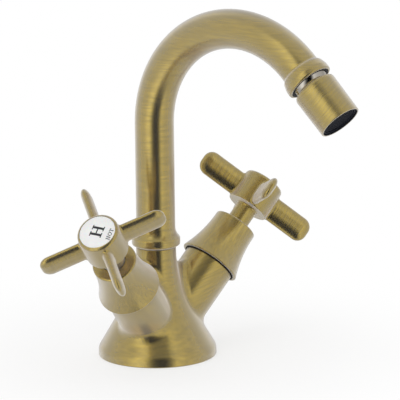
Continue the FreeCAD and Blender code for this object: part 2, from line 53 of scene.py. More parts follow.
# a frame at a place, with its axes along three directions
def axesFrame(place, *axes):
    return Matrix.Translation(place) @ Matrix(axes).transposed().to_4x4()


# the slanted axes that the finishes and the added pieces follow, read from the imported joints
def jointFrame(name):
    joint = joints[name]
    axis = Vector(joint["axis"]).normalized()
    level = upAxis.cross(axis).normalized()
    return axesFrame(Vector(joint["pos_m"]), level, axis.cross(level), axis)


valveFrame = {side: jointFrame(side + "_valve_turn") for side in sides}
nozzleFrame = jointFrame("nozzle_swivel")
rightSide = max(sides, key=lambda side: valveFrame[side].to_translation().x)


def addObject(name, data):
    made = bpy.data.objects.new(name, data)
    bpy.context.scene.collection.objects.link(made)
    return made


# camera, at the photograph's viewing angle
cameraView = {
    "aim": (0, 0, 80 * mm),
    "azimuth": -51.68,
    "elevation": 13.07,
    "roll": -0.71,
    "distance": 2148.94 * mm,
    "slideRight": 20.52 * mm,
    "slideUp": -7.09 * mm,
    "focalPixels": 4670.94,
    "imagePixels": 400,
    "sensorWidth": 36.0,
}


def cameraAxes(view):
    azimuth = math.radians(view["azimuth"])
    elevation = math.radians(view["elevation"])
    flat = Vector((math.sin(azimuth), -math.cos(azimuth), 0))
    back = flat * math.cos(elevation) + upAxis * math.sin(elevation)
    right = Vector((math.cos(azimuth), math.sin(azimuth), 0))
    return right, back.cross(right), back


def makeCamera(view):
    right, up, back = cameraAxes(view)
    roll = math.radians(view["roll"])
    place = Vector(view["aim"]) + back * view["distance"]
    place += right * view["slideRight"] + up * view["slideUp"]
    rolledRight = right * math.cos(roll) + up * math.sin(roll)
    rolledUp = up * math.cos(roll) - right * math.sin(roll)
    data = bpy.data.cameras.new("photoCamera")
    data.sensor_width = view["sensorWidth"]
    data.lens = view["focalPixels"] / view["imagePixels"] * view["sensorWidth"]
    camera = addObject("photoCamera", data)
    camera.matrix_world = axesFrame(place, rolledRight, rolledUp, back)
    bpy.context.scene.camera = camera


makeCamera(cameraView)
print("camera placed")


# small helpers for node trees
def startMaterial(name):
    material = bpy.data.materials.new(name)
    material.use_nodes = True
    return material, material.node_tree


def addNode(tree, kind, **settings):
    node = tree.nodes.new(kind)
    for key, value in settings.items():
        setattr(node, key, value)
    return node


def setSockets(node, values):
    for key, value in values.items():
        node.inputs[key].default_value = value


def linkTo(tree, source, target):
    tree.links.new(source, target)


# a node with its links and plain values in place: gives its first output
def addLinked(tree, kind, links, values=None, **settings):
    node = addNode(tree, kind, **settings)
    for key, source in links.items():
        linkTo(tree, source, node.inputs[key])
    setSockets(node, values or {})
    return node.outputs[0]


def calculate(tree, operation, *values):
    node = addNode(tree, "ShaderNodeMath", operation=operation)
    for socket, value in zip(node.inputs, values):
        if isinstance(value, (int, float)):
            socket.default_value = value
        else:
            linkTo(tree, value, socket)
    return node.outputs[0]


def vectorMath(tree, operation, first, second=None):
    node = addNode(tree, "ShaderNodeVectorMath", operation=operation)
    linkTo(tree, first, node.inputs[0])
    if second is not None:
        node.inputs["Scale" if operation == "SCALE" else 1].default_value = second
    return node.outputs["Value" if operation in ("LENGTH", "DOT_PRODUCT") else "Vector"]


def splitVector(tree, vector):
    node = addNode(tree, "ShaderNodeSeparateXYZ")
    linkTo(tree, vector, node.inputs[0])
    return node.outputs


# from the range that noise mostly keeps to, unless another one is given
def remap(tree, source, low, high, fromLow=0.3, fromHigh=0.7):
    values = {"From Min": fromLow, "From Max": fromHigh, "To Min": low, "To Max": high}
    return addLinked(tree, "ShaderNodeMapRange", {"Value": source}, values)


# the mix node keeps its colours in inputs 6 and 7 and output 2
def mixColours(tree, share, first, second):
    node = addNode(tree, "ShaderNodeMix", data_type="RGBA")
    linkTo(tree, share, node.inputs[0])
    for socket, colour in ((node.inputs[6], first), (node.inputs[7], second)):
        if isinstance(colour, tuple):
            socket.default_value = (*colour, 1)
        else:
            linkTo(tree, colour, socket)
    return node.outputs[2]


def objectPlace(tree):
    return addNode(tree, "ShaderNodeTexCoord").outputs["Object"]


# a place turned and stretched: grain is the size of one mark along the pattern's own axes
def grainCoordinates(tree, place, grain=(1, 1, 1), turn=(0, 0, 0), centre=(0, 0, 0)):
    values = {"Location": centre, "Rotation": turn, "Scale": grain}
    return addLinked(tree, "ShaderNodeMapping", {"Vector": place}, values, vector_type="TEXTURE")


def axisCoordinates(tree, axisFrame, grain):
    turn, centre = axisFrame.to_euler(), axisFrame.to_translation()
    return grainCoordinates(tree, objectPlace(tree), grain, turn, centre)


# noise in three dimensions, or in four where a depth is given
def grainNoise(tree, vector, detail, depth=None):
    links = {"Vector": vector} if depth is None else {"Vector": vector, "W": depth}
    return addLinked(
        tree, "ShaderNodeTexNoise", links, {"Scale": 1.0, "Detail": detail},
        noise_dimensions="3D" if depth is None else "4D")


# the colour, the gloss and the fine surface of a finish, from its tone and the noise that marks it
def finishShader(tree, tone, marks, spec):
    shader = tree.nodes["Principled BSDF"]
    setSockets(shader, spec.get("sockets", {}))
    bump = addLinked(
        tree, "ShaderNodeBump", {"Height": marks},
        {"Strength": spec["bumpStrength"], "Distance": spec["bumpDepth"]})
    linkTo(tree, tone, shader.inputs["Base Color"])
    linkTo(tree, remap(tree, marks, *spec["roughness"]), shader.inputs["Roughness"])
    linkTo(tree, bump, shader.inputs["Normal"])


# antique brass with a hand-brushed face, a lacquer and a pale haze that shows where it turns away
brushedBrass = {
    "gold": (0.6, 0.415, 0.022),
    "shadowGold": (0.41, 0.285, 0.015),
    "toneRange": (0.37, 0.63),
    "patina": (0.44, 0.325, 0.05),
    "patinaSize": (14 * mm, 14 * mm, 9 * mm),
    "patinaShare": 0.35,
    "patinaDetail": 3.0,
    "ringed": ((8 * mm, 8 * mm, 0.5 * mm), (12 * mm, 12 * mm, 1.1 * mm)),      # a fine and a broad stroke
    "lengthwise": ((0.5 * mm, 0.5 * mm, 8 * mm), (1.1 * mm, 1.1 * mm, 12 * mm)),
    "strokeDetails": (2.0, 3.0),
    "roughness": (0.26, 0.19),
    "bumpStrength": 0.5,
    "bumpDepth": 0.25 * mm,
    "sockets": {
        "Metallic": 1.0,
        "Sheen Weight": 1.0,
        "Sheen Roughness": 0.56,
        "Sheen Tint": (1.0, 0.97, 0.95, 1),
        "Coat Weight": 1.0,
        "Coat Roughness": 0.19,
        "Coat IOR": 1.8,
    },
}
branchBrush = {
    "root": Vector((0, 0, 7.55 * mm)),      # where the two branch axes cross
    "inside": 12.9 * mm,
    "outside": 15.5 * mm,
    "twist": math.radians(-2600),          # turn for each metre along the branch
    "ringWraps": 7.0,
}
nozzleSlant = math.radians(14)


def axisStrokes(tree, spec, axisFrame, sizes):
    return [grainNoise(tree, axisCoordinates(tree, axisFrame, size), detail)
            for size, detail in zip(sizes, spec["strokeDetails"])]


def ringedStrokes(tree, spec, axisFrame):
    return axisStrokes(tree, spec, axisFrame, spec["ringed"])


def lengthwiseStrokes(tree, spec, axisFrame):
    return axisStrokes(tree, spec, axisFrame, spec["lengthwise"])


# strokes that ring the neck and the flare: both are round about a line through the branches' root
def rootStrokes(tree, spec, branch=branchBrush):
    offset = vectorMath(tree, "SUBTRACT", objectPlace(tree), branch["root"])
    away = vectorMath(tree, "LENGTH", offset)
    way = vectorMath(tree, "NORMALIZE", offset)
    fineLength = spec["ringed"][0][0]
    strokes = []
    for (length, _, thickness), detail in zip(spec["ringed"], spec["strokeDetails"]):
        spread = vectorMath(tree, "SCALE", way, branch["ringWraps"] * fineLength / length)
        depth = calculate(tree, "DIVIDE", away, thickness)
        strokes.append(grainNoise(tree, spread, detail, depth))
    return strokes


# strokes that wind slowly along a branch, and how far a place lies on one: the branches mirror each other
def branchStrokes(tree, spec, axisFrame, branch=branchBrush):
    parts = splitVector(tree, objectPlace(tree))
    folded = addLinked(tree, "ShaderNodeCombineXYZ", {
        "X": calculate(tree, "ABSOLUTE", parts["X"]), "Y": parts["Y"], "Z": parts["Z"]})
    local = grainCoordinates(tree, folded, turn=axisFrame.to_euler(), centre=branch["root"])
    angle = calculate(tree, "MULTIPLY", splitVector(tree, local)["Z"], branch["twist"])
    wound = addLinked(
        tree, "ShaderNodeVectorRotate", {"Vector": local, "Angle": angle}, rotation_type="Z_AXIS")
    strokes = [grainNoise(tree, grainCoordinates(tree, wound, size), detail)
               for size, detail in zip(spec["lengthwise"], spec["strokeDetails"])]
    away = vectorMath(tree, "LENGTH", vectorMath(tree, "MULTIPLY", local, (1, 1, 0)))
    return strokes, remap(tree, away, 1, 0, branch["inside"], branch["outside"])


def bodyStrokes(tree, spec, axisFrame):
    rings = rootStrokes(tree, spec)
    lines, share = branchStrokes(tree, spec, axisFrame)
    strokes = []
    for ring, line in zip(rings, lines):
        change = calculate(tree, "SUBTRACT", line, ring)
        strokes.append(calculate(tree, "MULTIPLY_ADD", change, share, ring))
    return strokes


def makeBrushedBrass(name, makeStrokes, axisFrame, spec=brushedBrass):
    material, tree = startMaterial(name)
    fine, broad = makeStrokes(tree, spec, axisFrame)
    strokes = calculate(tree, "MULTIPLY", calculate(tree, "ADD", fine, broad), 0.5)      # their mean
    cloud = grainNoise(tree, axisCoordinates(tree, upright, spec["patinaSize"]), spec["patinaDetail"])
    shine = remap(tree, strokes, 0, 1, *spec["toneRange"])
    tone = mixColours(tree, shine, spec["shadowGold"], spec["gold"])
    aged = mixColours(tree, remap(tree, cloud, 0, spec["patinaShare"]), tone, spec["patina"])
    finishShader(tree, aged, strokes, spec)
    return material


# a plain finish with a cloudy tone and a fine surface
def makeCloudyFinish(name, spec, axisFrame=upright, detail=3.0):
    material, tree = startMaterial(name)
    grain = grainNoise(tree, axisCoordinates(tree, axisFrame, spec["grain"]), detail)
    tone = mixColours(tree, remap(tree, grain, 0, 1), spec["low"], spec["high"])
    finishShader(tree, tone, grain, spec)
    return material


turnedBrass = {
    "low": (0.5, 0.36, 0.13), "high": (0.68, 0.51, 0.22), "grain": (9 * mm, 9 * mm, 0.25 * mm),
    "roughness": (0.3, 0.18), "bumpStrength": 0.15, "bumpDepth": 0.02 * mm,
    "sockets": {"Metallic": 1.0},
}
polishedChrome = {
    "low": (0.6, 0.56, 0.49), "high": (0.69, 0.645, 0.57), "grain": (6 * mm, 6 * mm, 6 * mm),
    "roughness": (0.1, 0.16), "bumpStrength": 0.03, "bumpDepth": 0.01 * mm,
    "sockets": {"Metallic": 1.0},
}
glazedPorcelain = {
    "low": (0.86, 0.86, 0.85), "high": (0.91, 0.91, 0.9), "grain": (3.5 * mm, 3.5 * mm, 3.5 * mm),
    "roughness": (0.1, 0.16), "bumpStrength": 0.05, "bumpDepth": 0.03 * mm,
    "sockets": {
        "Coat Weight": 0.6, "Coat Roughness": 0.06,
        "Subsurface Weight": 0.08, "Subsurface Scale": 0.8 * mm,
    },
}
groundCeramic = {
    "low": (0.74, 0.72, 0.67), "high": (0.84, 0.82, 0.78), "grain": (0.3 * mm, 0.3 * mm, 0.3 * mm),
    "roughness": (0.32, 0.42), "bumpStrength": 0.1, "bumpDepth": 0.01 * mm,
}
sealRubber = {
    "low": (0.014, 0.011, 0.007), "high": (0.024, 0.019, 0.012), "grain": (0.4 * mm, 0.4 * mm, 0.4 * mm),
    "roughness": (0.5, 0.66), "bumpStrength": 0.2, "bumpDepth": 0.02 * mm,
    "sockets": {"Specular IOR Level": 0.15},
}
springSteel = {
    "low": (0.5, 0.5, 0.51), "high": (0.64, 0.64, 0.65), "grain": (4 * mm, 4 * mm, 0.2 * mm),
    "roughness": (0.22, 0.34), "bumpStrength": 0.1, "bumpDepth": 0.02 * mm,
    "sockets": {"Metallic": 1.0},
}
whiteNylon = {
    "low": (0.78, 0.78, 0.75), "high": (0.86, 0.86, 0.84), "grain": (0.6 * mm, 0.6 * mm, 0.6 * mm),
    "roughness": (0.38, 0.5), "bumpStrength": 0.12, "bumpDepth": 0.02 * mm,
}
darkAcetal = {
    "low": (0.012, 0.013, 0.019), "high": (0.022, 0.024, 0.036), "grain": (0.5 * mm, 0.5 * mm, 0.5 * mm),
    "roughness": (0.4, 0.55), "bumpStrength": 0.12, "bumpDepth": 0.02 * mm,
    "sockets": {"Specular IOR Level": 0.2},
}
printedInk = {
    "low": (0.016, 0.017, 0.019), "high": (0.035, 0.036, 0.04), "grain": (0.25 * mm, 0.25 * mm, 0.25 * mm),
    "roughness": (0.3, 0.45), "bumpStrength": 0.1, "bumpDepth": 0.01 * mm,
}

# how each brushed piece was stroked, and about which axis
brushedWays = {
    "brushedBody": (bodyStrokes, valveFrame[rightSide]),
    "brushedSpout": (ringedStrokes, upright),
    "brushedHot": (lengthwiseStrokes, valveFrame["hot"]),
    "brushedCold": (lengthwiseStrokes, valveFrame["cold"]),
    "brushedNozzle": (ringedStrokes, nozzleFrame @ Matrix.Rotation(nozzleSlant, 4, "Y")),
}
cloudyWays = {
    "turnedUpright": (turnedBrass, upright),
    "turnedHot": (turnedBrass, valveFrame["hot"]),
    "turnedCold": (turnedBrass, valveFrame["cold"]),
    "polishedChrome": (polishedChrome,),
    "glazedPorcelain": (glazedPorcelain,),
    "groundCeramic": (groundCeramic,),
    "sealRubber": (sealRubber,),
    "springSteel": (springSteel,),
    "whiteNylon": (whiteNylon,),
    "darkAcetal": (darkAcetal,),
    "printedInk": (printedInk,),
}
finishes = {name: makeBrushedBrass(name, *way) for name, way in brushedWays.items()}
finishes.update({name: makeCloudyFinish(name, *way) for name, way in cloudyWays.items()})
print("finishes made:", len(finishes))


# every CAD node gets its finish, and those not named here are rubber seals; a valve's pieces take the finish
# that follows their own axis
nodeFinish = {
    "mixer_body": "brushedBody",
    "spout_tube": "brushedSpout",
    "nozzle_housing": "brushedNozzle",
    "valve_cover": "brushedSide",
    "cross_handle": "brushedSide",
    "spout_spigot": "turnedUpright",
    "headwork_housing": "turnedSide",
    "spindle": "turnedSide",
    "nozzle_ball": "polishedChrome",
    "index_disc": "glazedPorcelain",
    "fixed_disc": "groundCeramic",
    "moving_disc": "groundCeramic",
    "spindle_clip": "springSteel",
    "handle_screw": "springSteel",
    "spout_snap_ring": "springSteel",
    "ball_slip_ring": "whiteNylon",
    "ball_retainer": "darkAcetal",
    "aerator_cartridge": "darkAcetal",
    "aerator_mesh": "darkAcetal",
}


def dressNodes():
    for name, piece in nodes.items():
        side, _, rest = name.partition("_")
        key = nodeFinish.get(rest if side in sides else name, "sealRubber")
        key = key.replace("Side", side.capitalize())
        for slot in piece.material_slots:
            slot.material = finishes[key]


dressNodes()
print("nodes dressed")


# marks on the porcelain discs: an upright letter with a small word under it, laid on the dome
bigLetter = {
    "width": 5.9 * mm, "height": 5.9 * mm, "stem": 1.15 * mm, "thin": 0.55 * mm,
    "serif": 2.5 * mm, "foot": 0.45 * mm, "belly": 1.15,
}
smallLetter = {
    "width": 1.8 * mm, "height": 1.8 * mm, "stem": 0.36 * mm, "thin": 0.2 * mm,
    "serif": 0.76 * mm, "foot": 0.17 * mm, "tip": 0.57 * mm, "belly": 1.15,
    "gap": 0.24 * mm, "wordLength": 5.9 * mm, "shares": {"T": 0.92, "C": 0.9, "L": 0.84},
}
indexMark = {
    "domeTop": 46.15 * mm,
    "domeRadius": 39.65 * mm,
    "lift": 0.03 * mm,
    "sink": 0.05 * mm,
    "weld": 0.003 * mm,
    "longestEdge": 0.5 * mm,
    "cuttingRounds": 5,
    "wordDrop": 6.5 * mm,
    "letterRise": -0.15 * mm,
    "turn": {"hot": 84.0, "cold": 290.4},
    "words": {"hot": "HOT", "cold": "COLD"},
}


# serif letters as flat outlines about their own middle
def letterHalves(spec):
    return spec["width"] / 2, spec["height"] / 2


def mirrorDown(upper):
    return [upper, [(x, -y) for x, y in upper]]


def arcAngles(start, end, steps):
    return [math.radians(start + (end - start) * i / steps) for i in range(steps + 1)]


def arcPoints(halfWide, halfHigh, angles):
    return [(halfWide * math.cos(angle), halfHigh * math.sin(angle)) for angle in angles]


# the wall of a round letter, from its right side: out along the outside and back along the inside
def roundWall(spec, end, steps):
    halfWide, halfHigh = letterHalves(spec)
    angles = arcAngles(0, end, steps)
    outer = arcPoints(halfWide, halfHigh, angles)
    inner = arcPoints(halfWide - spec["stem"], halfHigh - spec["thin"], reversed(angles))
    return outer, inner


# an H, drawn a quarter at a time
def letterH(spec):
    halfWide, halfHigh = letterHalves(spec)
    stemMiddle = halfWide - spec["serif"] / 2
    stemIn, stemOut = stemMiddle - spec["stem"] / 2, stemMiddle + spec["stem"] / 2
    serifIn, footTop = halfWide - spec["serif"], halfHigh - spec["foot"]
    quarter = [
        (stemIn, spec["thin"] / 2), (stemIn, footTop), (serifIn, footTop), (serifIn, halfHigh),
        (halfWide, halfHigh), (halfWide, footTop), (stemOut, footTop),
    ]
    right = quarter + [(x, -y) for x, y in reversed(quarter)]
    return [right + [(-x, -y) for x, y in right]]


# a C: a thick left side that thins towards two upright serifs
def letterC(spec, gap=42, steps=28):
    halfWide, halfHigh = letterHalves(spec)
    angles = arcAngles(gap, 360 - gap, steps)
    outer = arcPoints(halfWide, halfHigh, angles)
    thin, thick = spec["thin"], spec["stem"] * spec["belly"]
    inner = []
    for angle in reversed(angles):
        wall = thin + (thick - thin) * max(0, -math.cos(angle))
        inner.append(((halfWide - wall) * math.cos(angle), (halfHigh - thin) * math.sin(angle)))
    tipX, tipY = outer[0]
    serifX = tipX + thin / 2
    upper = [(serifX, tipY - spec["serif"] / 2), (serifX, tipY + thin)]
    lower = [(x, -y) for x, y in reversed(upper)]
    return [upper + outer + lower + inner]


def letterO(spec, steps=20):
    outer, inner = roundWall(spec, 180, steps)
    return mirrorDown(outer + inner)


def letterD(spec, steps=12):
    halfWide, halfHigh = letterHalves(spec)
    outer, inner = roundWall(spec, 90, steps)
    stemIn = (spec["serif"] - spec["stem"]) / 2 - halfWide
    stemOut, footTop = stemIn + spec["stem"], halfHigh - spec["foot"]
    stem = [
        (-halfWide, halfHigh), (-halfWide, footTop), (stemIn, footTop), (stemIn, 0),
        (stemOut, 0), (stemOut, halfHigh - spec["thin"]),
    ]
    return mirrorDown(outer + stem + inner)


def letterT(spec):
    halfWide, halfHigh = letterHalves(spec)
    footTop, barFoot, tipFoot = spec["foot"] - halfHigh, halfHigh - spec["thin"], halfHigh - spec["tip"]
    serifOut, stemOut, tipIn = spec["serif"] / 2, spec["stem"] / 2, halfWide - spec["thin"]
    right = [
        (serifOut, -halfHigh), (serifOut, footTop), (stemOut, footTop), (stemOut, barFoot),
        (tipIn, barFoot), (tipIn, tipFoot), (halfWide, tipFoot), (halfWide, halfHigh),
    ]
    return [right + [(-x, y) for x, y in reversed(right)]]


def letterL(spec):
    halfWide, halfHigh = letterHalves(spec)
    stemIn = (spec["serif"] - spec["stem"]) / 2 - halfWide
    stemOut, serifOut = stemIn + spec["stem"], spec["serif"] - halfWide
    topFoot, barTop, tipTop = halfHigh - spec["foot"], spec["thin"] - halfHigh, spec["tip"] - halfHigh
    tipIn = halfWide - spec["thin"]
    return [[
        (-halfWide, -halfHigh), (halfWide, -halfHigh), (halfWide, tipTop), (tipIn, tipTop),
        (tipIn, barTop), (stemOut, barTop), (stemOut, topFoot), (serifOut, topFoot),
        (serifOut, halfHigh), (-halfWide, halfHigh), (-halfWide, topFoot), (stemIn, topFoot),
        (stemIn, -topFoot), (-halfWide, -topFoot),
    ]]


letterShapes = {"H": letterH, "C": letterC, "O": letterO, "D": letterD, "T": letterT, "L": letterL}


# letters set side by side and drawn to one length
def wordOutlines(word, spec):
    outlines, left = [], 0
    for letter in word:
        width = spec["width"] * spec["shares"].get(letter, 1)
        for outline in letterShapes[letter]({**spec, "width": width}):
            outlines.append([(x + left + width / 2, y) for x, y in outline])
        left += width + spec["gap"]
    length = left - spec["gap"]
    return [[((x / length - 0.5) * spec["wordLength"], y) for x, y in outline] for outline in outlines]


# flat letters cut into small faces, bent over the dome, and given a thickness that ends inside the glaze
def makeIndexMark(side, spec=indexMark):
    name = side + "IndexMark"
    word = spec["words"][side]
    outlines = [(outline, spec["letterRise"]) for outline in letterShapes[word[0]](bigLetter)]
    outlines += [(outline, -spec["wordDrop"]) for outline in wordOutlines(word, smallLetter)]
    ink = bmesh.new()
    for outline, rise in outlines:
        ink.faces.new([ink.verts.new((x, y + rise, 0)) for x, y in outline])
    bmesh.ops.remove_doubles(ink, verts=ink.verts, dist=spec["weld"])
    bmesh.ops.triangulate(ink, faces=ink.faces)
    for _ in range(spec["cuttingRounds"]):
        longEdges = [edge for edge in ink.edges if edge.calc_length() > spec["longestEdge"]]
        if longEdges:
            bmesh.ops.subdivide_edges(ink, edges=longEdges, cuts=1)
            bmesh.ops.triangulate(ink, faces=ink.faces)
    ink.normal_update()
    for face in ink.faces:
        if face.normal.z < 0:
            face.normal_flip()
    grown = bmesh.ops.extrude_face_region(ink, geom=ink.faces[:], use_keep_orig=True)["geom"]
    tops = {element for element in grown if isinstance(element, bmesh.types.BMVert)}
    for vertex in ink.verts:
        across = vertex.co.x ** 2 + vertex.co.y ** 2
        dome = spec["domeTop"] - spec["domeRadius"] + math.sqrt(spec["domeRadius"] ** 2 - across)
        vertex.co.z = dome + (spec["lift"] if vertex in tops else -spec["sink"])
    bmesh.ops.recalc_face_normals(ink, faces=ink.faces)
    mesh = bpy.data.meshes.new(name)
    ink.to_mesh(mesh)
    ink.free()
    mesh.transform(valveFrame[side] @ Matrix.Rotation(math.radians(spec["turn"][side]), 4, "Z"))
    mesh.materials.append(finishes["printedInk"])
    mark = addObject(name, mesh)
    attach(mark, side + "_valve")


for side in sides:
    makeIndexMark(side)
print("index marks laid")


# what repeats or follows a ring is made by a node tree with one named input for each size
def startPattern(name, labels):
    tree = bpy.data.node_groups.new(name, "GeometryNodeTree")
    tree.interface.new_socket("geometry", in_out="OUTPUT", socket_type="NodeSocketGeometry")
    for label in labels:
        tree.interface.new_socket(label, in_out="INPUT", socket_type="NodeSocketFloat")
    return tree, addNode(tree, "NodeGroupInput").outputs


def endPattern(tree, geometry, material):
    realized = addLinked(tree, "GeometryNodeRealizeInstances", {"Geometry": geometry})
    painted = addLinked(tree, "GeometryNodeSetMaterial", {"Geometry": realized}, {"Material": material})
    linkTo(tree, painted, addNode(tree, "NodeGroupOutput").inputs[0])


# the tree's result as a plain mesh, moved to its place
def makePattern(name, tree, spec, place):
    piece = addObject(name, bpy.data.meshes.new(name))
    modifier = piece.modifiers.new(name, "NODES")
    modifier.node_group = tree
    for socket in tree.interface.items_tree:
        if socket.in_out == "INPUT":
            modifier[socket.identifier] = float(spec[socket.name])
    mesh = bpy.data.meshes.new_from_object(piece.evaluated_get(bpy.context.evaluated_depsgraph_get()))
    piece.modifiers.clear()
    mesh.transform(place)
    piece.data = mesh
    return piece


def circleCurve(tree, corners, radius):
    return addLinked(tree, "GeometryNodeCurvePrimitiveCircle", {"Radius": radius}, {"Resolution": corners})


# a bar of rectangular section that follows a ring
def ringBar(tree, corners, radius, width, height):
    ring = circleCurve(tree, corners, radius)
    section = addLinked(tree, "GeometryNodeCurvePrimitiveQuadrilateral", {"Width": width, "Height": height})
    return addLinked(tree, "GeometryNodeCurveToMesh", {"Curve": ring, "Profile Curve": section})


# the aerator's honeycomb, flush with the plain perforated plate that it stands for
honeycomb = {
    "reach": 7.95 * mm,
    "rim": 0.8 * mm,
    "rimCorners": 96,
    "pitch": 1.15 * mm,
    "cellCorners": 6,
    "cellTurn": math.radians(30),
    "web": 0.14 * mm,
    "thickness": 0.7 * mm,
    "middle": 23.75 * mm,
}


def honeycombTree(spec):
    tree, sizes = startPattern("honeycomb", ("reach", "rim", "pitch", "web", "thickness"))
    reach, pitch, web = sizes["reach"], sizes["pitch"], sizes["web"]
    rowPitch = calculate(tree, "MULTIPLY", pitch, math.sqrt(3) / 2)
    steps = (pitch, rowPitch)
    counts = [calculate(tree, "CEIL", calculate(tree, "DIVIDE", reach, step)) for step in steps]
    spans = [calculate(tree, "MULTIPLY", calculate(tree, "MULTIPLY", count, 2), step)
             for count, step in zip(counts, steps)]
    totals = [calculate(tree, "MULTIPLY_ADD", count, 2, 1) for count in counts]
    grid = addLinked(tree, "GeometryNodeMeshGrid", {
        "Size X": spans[0], "Size Y": spans[1], "Vertices X": totals[0], "Vertices Y": totals[1]})
    position = addNode(tree, "GeometryNodeInputPosition").outputs[0]
    row = calculate(tree, "ROUND", calculate(tree, "DIVIDE", splitVector(tree, position)["Y"], rowPitch))
    odd = calculate(tree, "ABSOLUTE", calculate(tree, "MODULO", row, 2))
    halfPitch = calculate(tree, "MULTIPLY", pitch, 0.5)
    shift = addLinked(tree, "ShaderNodeCombineXYZ", {"X": calculate(tree, "MULTIPLY", odd, halfPitch)})
    staggered = addLinked(tree, "GeometryNodeSetPosition", {"Geometry": grid, "Offset": shift})
    lastCell = calculate(tree, "SUBTRACT", reach, halfPitch)
    outside = calculate(tree, "GREATER_THAN", vectorMath(tree, "LENGTH", position), lastCell)
    kept = addLinked(tree, "GeometryNodeDeleteGeometry", {"Geometry": staggered, "Selection": outside})
    cellRadius = calculate(tree, "DIVIDE", calculate(tree, "SUBTRACT", pitch, web), math.sqrt(3))
    cell = ringBar(tree, spec["cellCorners"], cellRadius, web, sizes["thickness"])
    cells = addLinked(tree, "GeometryNodeInstanceOnPoints", {"Points": kept, "Instance": cell},
                      {"Rotation": (0, 0, spec["cellTurn"])})
    rimRadius = calculate(tree, "SUBTRACT", reach, calculate(tree, "MULTIPLY", sizes["rim"], 0.5))
    rim = ringBar(tree, spec["rimCorners"], rimRadius, sizes["rim"], sizes["thickness"])
    joined = addNode(tree, "GeometryNodeJoinGeometry")
    for part in (cells, rim):
        linkTo(tree, part, joined.inputs[0])
    endPattern(tree, joined.outputs[0], finishes["darkAcetal"])
    return tree


nozzleHoneycomb = makePattern(
    "nozzleHoneycomb", honeycombTree(honeycomb), honeycomb,
    nozzleFrame @ Matrix.Translation((0, 0, honeycomb["middle"])))
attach(nozzleHoneycomb, "nozzle")
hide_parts("aerator_mesh")
print("honeycomb faces:", len(nozzleHoneycomb.data.polygons))

# painted shade: the dark line under each cover is shade, and a dark soft ring in the gap between the cover's
# skirt and the branch stands for it
coverShadeRing = {
    "radius": 12.65 * mm, "width": 0.64 * mm, "height": 1.1 * mm, "middle": -1.9 * mm, "corners": 128,
}
# painted shade: a thin dark lip that stands on the cartridge and lines the nozzle's mouth, for the dark
# recess between the honeycomb and the rim
mouthShadeLip = {
    "radius": 9.14 * mm, "width": 0.12 * mm, "height": 0.65 * mm, "middle": 24.775 * mm, "corners": 128,
}


def makePlainRing(name, spec, axisFrame, finish):
    tree, sizes = startPattern(name, ("radius", "width", "height"))
    bar = ringBar(tree, spec["corners"], sizes["radius"], sizes["width"], sizes["height"])
    endPattern(tree, bar, finishes[finish])
    return makePattern(name, tree, spec, axisFrame @ Matrix.Translation((0, 0, spec["middle"])))


# a dark ring under each cover, as painted shade for the shadow line there
for side in sides:
    shadeRing = makePlainRing(side + "CoverShadeRing", coverShadeRing, valveFrame[side], "sealRubber")
    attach(shadeRing, "mixer")
# a thin dark ring lining the nozzle's mouth, as painted shade for the recess inside it
nozzleShadeLip = makePlainRing("nozzleShadeLip", mouthShadeLip, nozzleFrame, "darkAcetal")
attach(nozzleShadeLip, "nozzle")
print("cover seals and nozzle lip laid")

# screw threads in the two inlets and in the fixing stud's hole, seen from below
inletThread = {
    "radius": 4.5 * mm, "ridge": 0.42 * mm, "pitch": 1.0 * mm, "depth": 8.4 * mm,
    "count": 2, "offset": 10.5 * mm, "start": 0.9 * mm,
}
studThread = {
    "radius": 3.4 * mm, "ridge": 0.5 * mm, "pitch": 1.25 * mm, "depth": 12.0 * mm,
    "count": 1, "offset": 0.0, "start": 0.9 * mm,
}
threadForm = {"turnSteps": 48, "ridgeCorners": 4}


def threadTree(name, form=threadForm):
    tree, sizes = startPattern(name, ("radius", "ridge", "pitch", "depth", "count", "offset"))
    radius, depth, offset = sizes["radius"], sizes["depth"], sizes["offset"]
    turns = calculate(tree, "DIVIDE", depth, sizes["pitch"])
    helix = addLinked(
        tree, "GeometryNodeCurveSpiral",
        {"Rotations": turns, "Start Radius": radius, "End Radius": radius, "Height": depth},
        {"Resolution": form["turnSteps"]})
    section = circleCurve(tree, form["ridgeCorners"], sizes["ridge"])
    ridge = addLinked(
        tree, "GeometryNodeCurveToMesh", {"Curve": helix, "Profile Curve": section}, {"Fill Caps": True})
    first = addLinked(tree, "ShaderNodeCombineXYZ", {"X": calculate(tree, "MULTIPLY", offset, -1)})
    step = addLinked(tree, "ShaderNodeCombineXYZ", {"X": calculate(tree, "MULTIPLY", offset, 2)})
    holes = addLinked(tree, "GeometryNodeMeshLine", {
        "Count": sizes["count"], "Start Location": first, "Offset": step})
    ridges = addLinked(tree, "GeometryNodeInstanceOnPoints", {"Points": holes, "Instance": ridge})
    endPattern(tree, ridges, finishes["turnedUpright"])
    return tree


for name, spec in (("inletThreads", inletThread), ("studThread", studThread)):
    thread = makePattern(name, threadTree(name), spec, Matrix.Translation((0, 0, spec["start"])))
    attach(thread, "mixer")
    print(name, "faces:", len(thread.data.polygons))


# white paper: it keeps the soft shadow near the base and is plain white farther off; the metal mirrors the
# room in its place
floorSpec = {
    "radius": 1.5,
    "segments": 96,
    "drop": 0.05 * mm,
    "tone": (0.94, 0.94, 0.94),
    "whiteNear": 0.66,
    "fadeStart": 0.03,
    "fadeEnd": 0.18,
}


